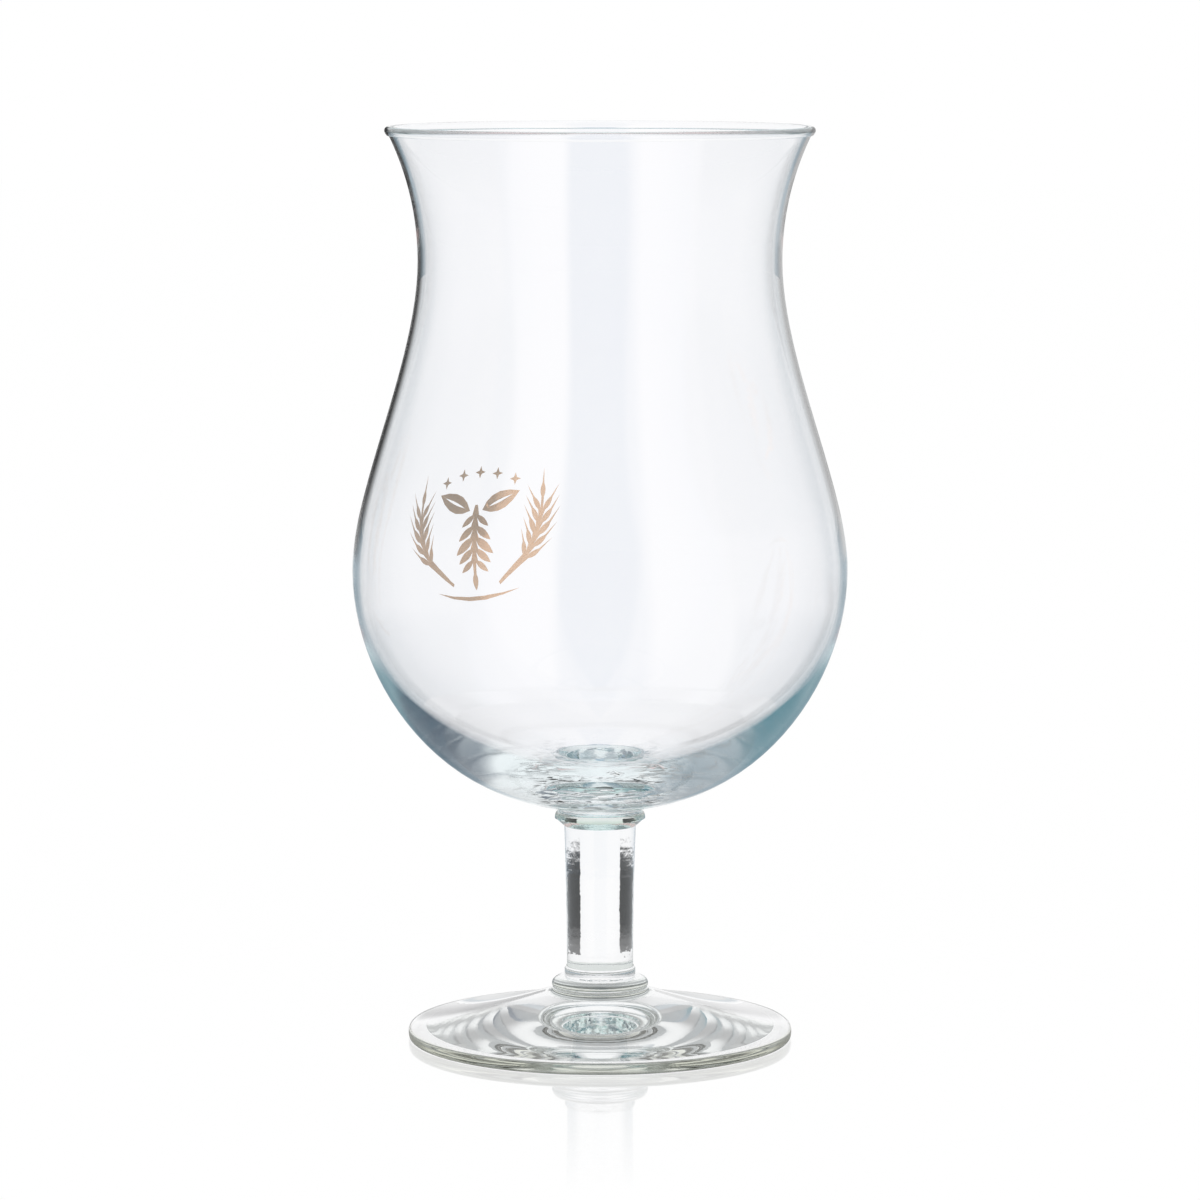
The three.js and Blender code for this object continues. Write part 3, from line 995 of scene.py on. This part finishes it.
class BEERGLASS_OT_print(bpy.types.Operator):
    """Lays the gold motifs on the bowl as thin films"""

    bl_idname = "beer_glass.print"
    bl_label = "Gold print"

    def execute(self, context):
        bowl = bpy.data.objects["blown_bowl"]
        gold = gold_material()
        for node in sorted(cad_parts):
            if node.startswith("print_"):
                self.lay_film(context, node, bowl, gold)
        return {"FINISHED"}

    def lay_film(self, context, node, bowl, gold):
        """Copies a motif's outer face, wraps it on the smooth bowl and gives it thickness."""
        finish = context.scene.beer_glass_finish
        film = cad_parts[node].copy()
        film.data = film.data.copy()
        film.name = node.replace("print_", "gold_")
        film.data.name = film.name
        for key in list(film.keys()):
            del film[key]
        film.parent = None
        context.scene.collection.objects.link(film)
        select_only(film)
        bpy.ops.object.mode_set(mode="EDIT")
        bpy.ops.mesh.select_mode(type="FACE")
        bpy.ops.mesh.select_all(action="SELECT")
        bpy.ops.mesh.remove_doubles(threshold=MERGE_DISTANCE)
        bpy.ops.mesh.select_all(action="DESELECT")
        bpy.ops.object.mode_set(mode="OBJECT")
        for face in film.data.polygons:
            outwards = Vector((face.center.x, face.center.y, 0)).normalized()
            face.select = face.normal.dot(outwards) < FILM_OUTWARDS
        bpy.ops.object.mode_set(mode="EDIT")
        bpy.ops.mesh.delete(type="FACE")
        bpy.ops.mesh.select_all(action="SELECT")
        bpy.ops.mesh.subdivide(number_cuts=FILM_CUTS)
        bpy.ops.object.mode_set(mode="OBJECT")
        wrap = film.modifiers.new("wrap", "SHRINKWRAP")
        wrap.target = bowl
        wrap.wrap_method = "NEAREST_SURFACEPOINT"
        wrap.wrap_mode = "ABOVE_SURFACE"
        wrap.offset = finish.print_offset
        bpy.ops.object.modifier_apply(modifier="wrap")
        thicken = film.modifiers.new("thicken", "SOLIDIFY")
        thicken.thickness = finish.print_film
        thicken.offset = 1
        bpy.ops.object.modifier_apply(modifier="thicken")
        bpy.ops.object.shade_smooth_by_angle(angle=FILM_SHARP_ANGLE)
        film.data.materials.clear()
        film.data.materials.append(gold)
        fit_piece(film, node)


class BEERGLASS_OT_stage(bpy.types.Operator):
    """Sets the white floor, the striped card, the soft lamps, the white surround and the camera"""

    bl_idname = "beer_glass.stage"
    bl_label = "Studio"

    def execute(self, context):
        studio = context.scene.beer_glass_studio
        self.set_floor(studio)
        self.set_card()
        self.set_world(context.scene)
        self.set_lamps(studio)
        self.set_camera(context.scene, studio)
        context.scene.view_settings.view_transform = "Standard"
        context.scene.cycles.max_bounces = LIGHT_BOUNCES
        context.scene.cycles.glossy_bounces = LIGHT_BOUNCES
        context.scene.cycles.transmission_bounces = LIGHT_BOUNCES
        context.scene.cycles.transparent_max_bounces = CLEAR_BOUNCES
        return {"FINISHED"}

    def room_shade(self, tree, place):
        """Tone of the room that a sharp ray ends in, from its direction or place; other rays see white."""
        path = add_node(tree, "LightPath", {}).outputs
        crossed = path["Transmission Depth"]
        bounces = path["Glossy Depth"]
        solid = ramp_node(tree, crossed, *SOLID_DEPTH, 1, 0)
        room = add_group(
            tree,
            room_group(),
            {
                "Place": place,
                "Lift": ramp_node(tree, crossed, 0, LIFT_DEPTH, 1, 0),
                "Deep": ramp_node(tree, bounces, *DEEP_BOUNCES, 0, 1),
                "Solid": solid,
            },
        )
        through = ramp_node(tree, solid, 0, 1, room["Behind"], room["Through"])
        long_way = blend_node(tree, ramp_node(tree, bounces, *GUIDE_LONG, 0, 1), WHITE, GUIDE_TONE)
        guided = ramp_node(tree, bounces, *GUIDE_BOUNCES, 0, 1)
        mirrored = blend_node(tree, guided, room["Mirrored"], long_way)
        shade = blend_node(tree, math_node(tree, "MINIMUM", bounces, 1), through, mirrored)
        return blend_node(tree, path["Is Singular Ray"], WHITE, shade)

    def set_floor(self, studio):
        """White paper with a faint shadow and, round the foot, a mirror image that fades."""
        bpy.ops.object.select_all(action="DESELECT")
        bpy.ops.mesh.primitive_plane_add(size=2 * studio.floor_half, location=(0, 0, 0))
        floor = bpy.context.object
        floor.name = "studio_floor"
        material, tree, output = new_material("floor_white")
        place = object_place(tree)
        reach = axis_reach(tree, place)
        paper = add_node(
            tree, "BsdfPrincipled", {"Base Color": PAPER_TONE, "Roughness": PAPER_ROUGHNESS}
        )
        # For sharp rays the floor glows in the studio's tones, which hold painted shade and a painted
        # contact shadow under the glass
        white = add_node(tree, "Emission", {"Color": self.room_shade(tree, place), "Strength": 1})
        polish = add_node(tree, "BsdfGlossy", {"Color": WHITE, "Roughness": MIRROR_ROUGHNESS})
        fresnel = add_node(tree, "Fresnel", {"IOR": MIRROR_IOR}).outputs["Fac"]
        fade = ramp_node(tree, reach, *MIRROR_FADE, 1, 0, "LINEAR")
        outside = ramp_node(tree, reach, *MIRROR_EDGE, 0, 1)
        weight = math_node(tree, "MULTIPLY", math_node(tree, "MULTIPLY", fade, outside), fresnel)
        shadowed = blend_shaders(tree, SHADOW_SHARE, white, paper)
        mirror = blend_shaders(tree, weight, shadowed, polish)
        diffuse = add_node(tree, "LightPath", {}).outputs["Is Diffuse Ray"]
        surface = blend_shaders(tree, diffuse, mirror, paper)
        feed(tree, output, {"Surface": surface.outputs["Shader"]})
        floor.data.materials.append(material)

    def set_card(self):
        """A striped ring round the foot: its stripes show in reflections inside solid glass only."""
        bpy.ops.object.select_all(action="DESELECT")
        bpy.ops.mesh.primitive_cylinder_add(
            vertices=SMALL_SIDES,
            radius=CARD_RADIUS,
            depth=CARD_HEIGHT,
            end_fill_type="NOTHING",
            location=(0, 0, CARD_HEIGHT / 2),
        )
        card = bpy.context.object
        card.name = "striped_card"
        card.visible_camera = False
        card.visible_diffuse = False
        card.visible_glossy = False
        card.visible_shadow = False
        card.visible_volume_scatter = False
        material, tree, output = new_material("card_stripes")
        x, y, z = split_place(tree, object_place(tree))
        turn = math_node(tree, "ARCTAN2", math_node(tree, "ABSOLUTE", x), y)
        turned = math_node(tree, "SUBTRACT", turn, CARD_LIGHT_TURN)
        wave = math_node(tree, "COSINE", math_node(tree, "MULTIPLY", turned, CARD_STRIPES))
        upper = ramp_node(tree, wave, -1, 1, *CARD_HIGH)
        lower = ramp_node(tree, wave, -1, 1, *CARD_LOW)
        height = math_node(tree, "ADD", z, CARD_HEIGHT / 2)
        stripes = ramp_node(tree, height, *CARD_SPLIT, lower, upper)
        light = add_node(tree, "Emission", {"Color": stripes, "Strength": 1})
        clear = add_node(tree, "BsdfTransparent", {})
        path = add_node(tree, "LightPath", {}).outputs
        bounced = math_node(tree, "MINIMUM", path["Glossy Depth"], 1)
        sharp = math_node(tree, "MULTIPLY", bounced, path["Is Singular Ray"])
        solid = ramp_node(tree, path["Transmission Depth"], *SOLID_DEPTH, 1, 0)
        seen = math_node(tree, "MULTIPLY", sharp, solid)
        surface = blend_shaders(tree, seen, clear, light)
        feed(tree, output, {"Surface": surface.outputs["Shader"]})
        card.data.materials.append(material)

    def set_world(self, scene):
        world = bpy.data.worlds.new("white_surround")
        scene.world = world
        world.use_nodes = True
        tree = world.node_tree
        tree.nodes.clear()
        direction = add_node(tree, "TexCoord", {}).outputs["Generated"]
        shade = self.room_shade(tree, direction)
        white = add_node(tree, "Background", {"Color": shade, "Strength": 1})
        add_node(tree, "OutputWorld", {"Surface": white.outputs["Background"]})

    def set_lamps(self, studio):
        for name, place in LAMP_PLACES.items():
            bpy.ops.object.light_add(type="AREA", location=place)
            lamp = bpy.context.object
            lamp.name = name
            lamp.data.shape = "RECTANGLE"
            lamp.data.size = LAMP_WIDTH
            lamp.data.size_y = LAMP_HEIGHT
            lamp.data.energy = studio.lamp_strength
            lamp.visible_glossy = False
            lamp.visible_transmission = False
            aim = LAMP_TARGET - Vector(place)
            lamp.rotation_euler = aim.to_track_quat("-Z", "Y").to_euler()

    def set_camera(self, scene, studio):
        place = Vector(studio.camera_place)
        bpy.ops.object.camera_add(location=place)
        camera = bpy.context.object
        camera.name = "photo_camera"
        aim = Vector(studio.camera_target) - place
        camera.rotation_euler = aim.to_track_quat("-Z", "Y").to_euler()
        camera.data.sensor_width = SENSOR_WIDTH
        camera.data.lens = studio.lens
        scene.camera = camera


class BEERGLASS_PT_sidebar(bpy.types.Panel):
    """Lists the pieces of the glass and its studio"""

    bl_label = "Beer glass"
    bl_idname = "BEERGLASS_PT_sidebar"
    bl_space_type = "VIEW_3D"
    bl_region_type = "UI"
    bl_category = "Beer glass"

    def draw(self, context):
        for operator in OPERATORS:
            self.layout.operator(operator.bl_idname)


SETTINGS = {
    "beer_glass_foot": FootSizes,
    "beer_glass_stem": StemSizes,
    "beer_glass_bowl": BowlSizes,
    "beer_glass_finish": Finish,
    "beer_glass_studio": Studio,
}
OPERATORS = (
    BEERGLASS_OT_foot,
    BEERGLASS_OT_stem,
    BEERGLASS_OT_bowl,
    BEERGLASS_OT_print,
    BEERGLASS_OT_stage,
)


def register():
    for name, group in SETTINGS.items():
        bpy.utils.register_class(group)
        setattr(bpy.types.Scene, name, PointerProperty(type=group))
    for operator in OPERATORS:
        bpy.utils.register_class(operator)
    bpy.utils.register_class(BEERGLASS_PT_sidebar)


def unregister():
    bpy.utils.unregister_class(BEERGLASS_PT_sidebar)
    for operator in reversed(OPERATORS):
        bpy.utils.unregister_class(operator)
    for name, group in reversed(SETTINGS.items()):
        delattr(bpy.types.Scene, name)
        bpy.utils.unregister_class(group)


def main():
    register()
    bpy.ops.beer_glass.foot()
    bpy.ops.beer_glass.stem()
    bpy.ops.beer_glass.bowl()
    bpy.ops.beer_glass.print()
    bpy.ops.beer_glass.stage()


if __name__ == "__main__":
    main()
